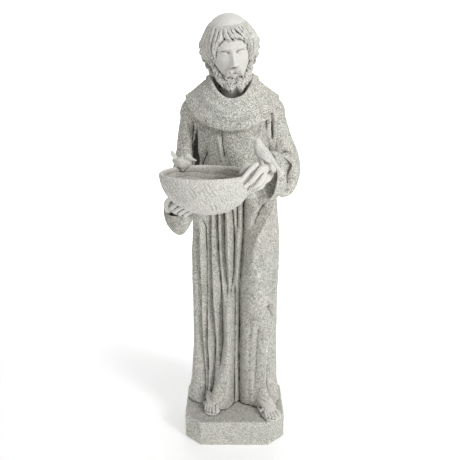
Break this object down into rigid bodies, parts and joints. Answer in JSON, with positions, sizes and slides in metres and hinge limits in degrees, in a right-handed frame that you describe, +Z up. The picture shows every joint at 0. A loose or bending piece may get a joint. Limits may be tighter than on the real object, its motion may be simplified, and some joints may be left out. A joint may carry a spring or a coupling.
{
  "type": "saint francis garden statue",
  "caption": "Standing robed saint in cast stone holding a shallow bowl with small birds, on a low plinth with cut corners.",
  "frame": {"origin": "middle of the plinth's underside, where the statue stands", "axes": "+Z up through the crown of the head, the saint faces -Y, +X is the saint's left hand side"},
  "size_m": [0.2884, 0.3112, 0.9401],
  "materials": {
    "cast_stone": "matt, pale warm grey with fine dark grain, darker in the recesses"
  },
  "bodies": {
    "root": {"saint_francis_statue": "cast_stone"}
  },
  "joints": []
}
